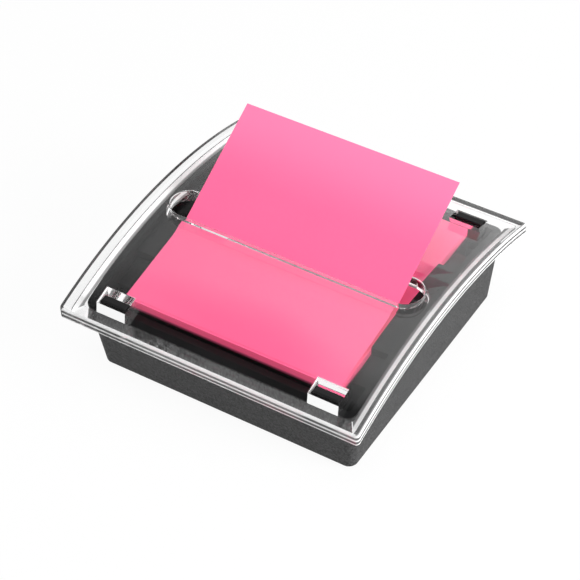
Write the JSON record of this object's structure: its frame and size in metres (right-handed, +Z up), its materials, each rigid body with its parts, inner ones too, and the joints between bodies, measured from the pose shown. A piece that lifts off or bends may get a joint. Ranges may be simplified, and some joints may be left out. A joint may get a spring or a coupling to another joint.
{
  "type": "sticky note dispenser",
  "caption": "Desk dispenser for pop-up sticky notes: a weighted dark base holds the pad under a clear arched cover, and the top note leans back out of a slot.",
  "frame": {"origin": "on the desk, under the middle of the cover's outline", "axes": "X runs along the front edge to the right, Y to the back, Z up"},
  "size_m": [0.1054, 0.1032, 0.0523],
  "materials": {
    "casing_plastic": "fine matte texture outside, smooth inside",
    "plate_plastic": "matte",
    "ballast_steel": "raw sheet",
    "screw_steel": "zinc plated",
    "foot_rubber": "matte",
    "clear_plastic": "clear, polished",
    "pad_paper": "matte",
    "note_paper": "matte"
  },
  "bodies": {
    "base": {"base_casing": "casing_plastic", "bottom_plate": "plate_plastic", "ballast_plate": "ballast_steel", "bottom_screws": "screw_steel", "foot_front_left": "foot_rubber", "foot_front_right": "foot_rubber", "foot_back_left": "foot_rubber", "foot_back_right": "foot_rubber", "note_pad": "pad_paper"},
    "cover": {"cover": "clear_plastic"},
    "note": {"popped_note": "note_paper"}
  },
  "joints": [
    {"name": "cover_lift", "type": "slide", "parent": "base", "child": "cover", "axis": [0, 0, 1], "range_m": [0, 0.05]},
    {"name": "note_pull", "type": "slide", "parent": "cover", "child": "note", "axis": [0, 0.8829, 0.4695], "range_m": [0, 0.028], "deforming": ["popped_note"]}
  ]
}
